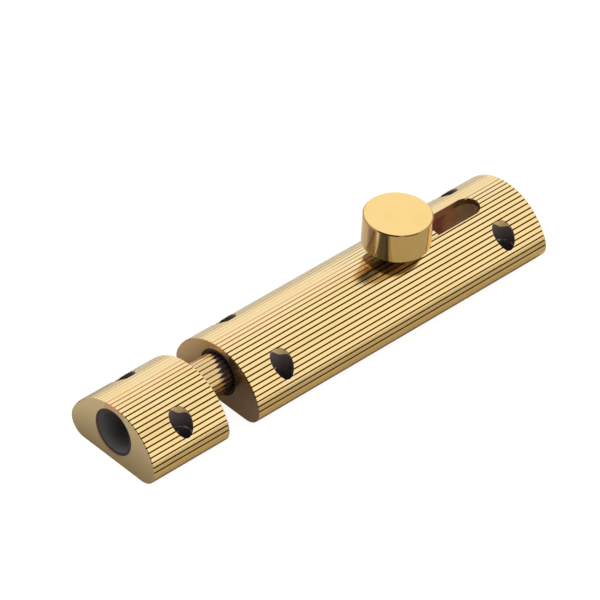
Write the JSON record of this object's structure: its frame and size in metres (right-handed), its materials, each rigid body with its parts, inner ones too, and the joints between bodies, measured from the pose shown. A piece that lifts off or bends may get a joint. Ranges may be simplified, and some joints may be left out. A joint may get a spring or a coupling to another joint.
{
  "type": "barrel bolt",
  "caption": "Surface-mounted barrel bolt: a reeded brass D-section casing with a round sliding rod and a flat round knob, and a matching keep with a black liner.",
  "frame": {"origin": "centre of the casing's four fixing holes, on the mounting surface", "axes": "+X along the bolt from the keep to the casing, the way the bolt is withdrawn; +Z out of the mounting surface"},
  "size_m": [0.1369, 0.0306, 0.0276],
  "materials": {
    "casing_brass": "reeded, satin polished",
    "rod_brass": "reeded, polished",
    "polished_brass": "bright polished",
    "black_acetal": "matt black",
    "plain_steel": "bright steel"
  },
  "bodies": {
    "casing_body": {"casing": "casing_brass", "front_bush": "black_acetal", "rear_bush": "black_acetal", "end_plug": "polished_brass"},
    "bolt": {"bolt_rod": "rod_brass", "slide_key": "casing_brass", "key_pins": "plain_steel", "knob": "polished_brass", "knob_stud": "plain_steel", "friction_spring": "plain_steel"},
    "keep_body": {"keep": "casing_brass", "keep_bush": "black_acetal"}
  },
  "joints": [
    {"name": "bolt_slide", "type": "slide", "parent": "casing_body", "child": "bolt", "axis": [1, 0, 0], "range_m": [0, 0.014]},
    {"name": "keep_lift_off", "type": "slide", "parent": "casing_body", "child": "keep_body", "axis": [-1, 0, 0], "range_m": [0, 0.03]}
  ]
}
